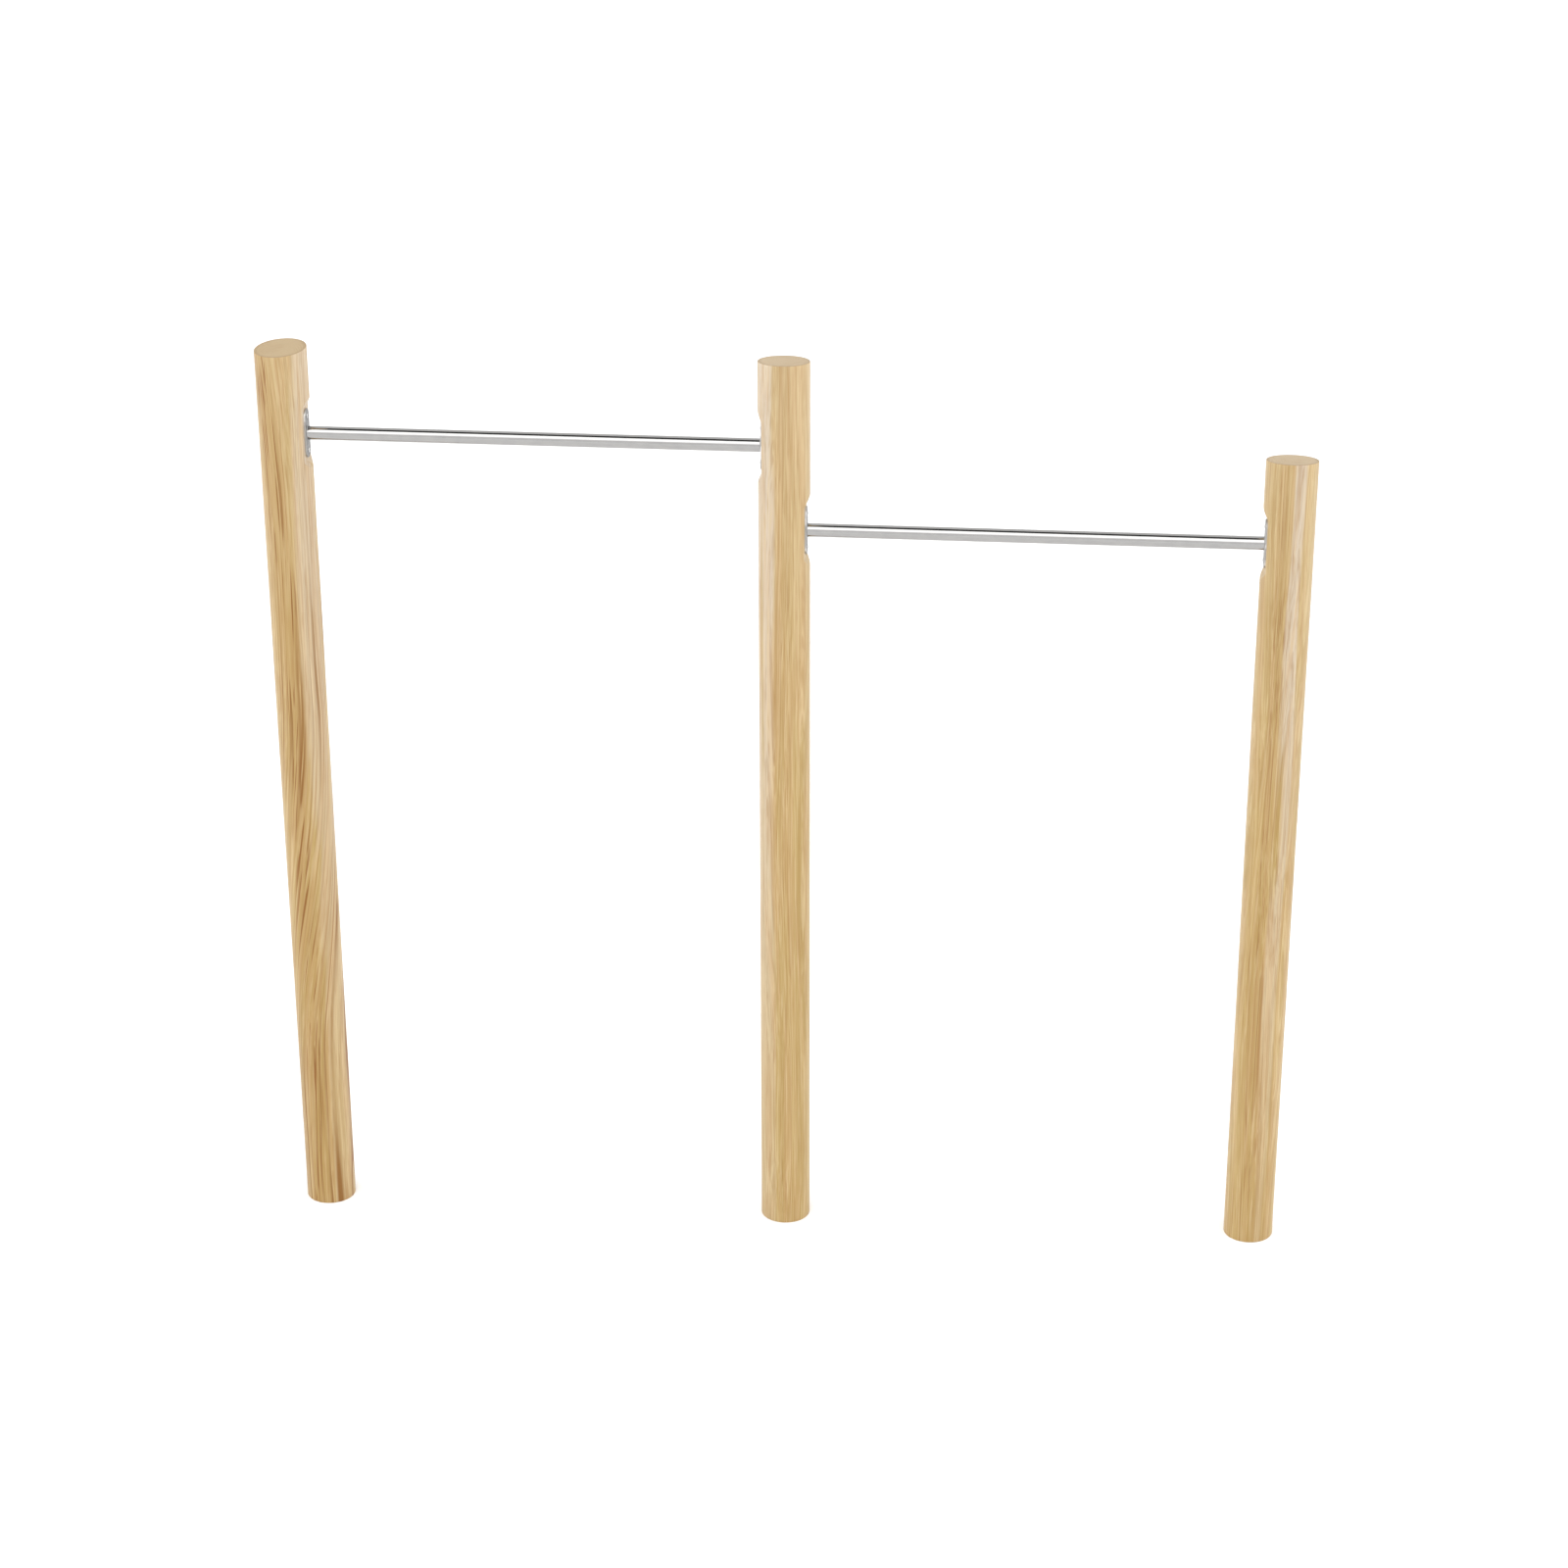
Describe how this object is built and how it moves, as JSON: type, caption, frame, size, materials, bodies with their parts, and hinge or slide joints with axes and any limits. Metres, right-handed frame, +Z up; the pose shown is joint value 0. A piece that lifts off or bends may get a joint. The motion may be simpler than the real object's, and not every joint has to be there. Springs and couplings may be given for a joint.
{
  "type": "horizontal exercise bar set",
  "caption": "Outdoor pull-up bars at two heights: polished steel tubes held between round natural wood posts by screwed end plates.",
  "frame": {"origin": "on the ground, at the centre of the middle post's bottom face, which is the bottom centre of the bounding box", "axes": "+Z up, +X along the bars from the higher bar towards the lower one, -Y is the front"},
  "size_m": [2.42, 0.12, 2.2066],
  "materials": {
    "wood": "smooth debarked pale wood, matt",
    "tube_steel": "polished stainless",
    "plate_steel": "satin stainless",
    "weld_steel": "cleaned stainless weld",
    "screw_steel": "bright stainless"
  },
  "bodies": {
    "root": {"post_left": "wood", "post_middle": "wood", "post_right": "wood", "upper_bar": "tube_steel", "lower_bar": "tube_steel", "plate_upper_left": "plate_steel", "plate_upper_right": "plate_steel", "plate_lower_left": "plate_steel", "plate_lower_right": "plate_steel", "weld_upper_left": "weld_steel", "weld_upper_right": "weld_steel", "weld_lower_left": "weld_steel", "weld_lower_right": "weld_steel", "screw_upper_left_top": "screw_steel", "screw_upper_left_bottom": "screw_steel", "screw_upper_right_top": "screw_steel", "screw_upper_right_bottom": "screw_steel", "screw_lower_left_top": "screw_steel", "screw_lower_left_bottom": "screw_steel", "screw_lower_right_top": "screw_steel", "screw_lower_right_bottom": "screw_steel"}
  },
  "joints": []
}
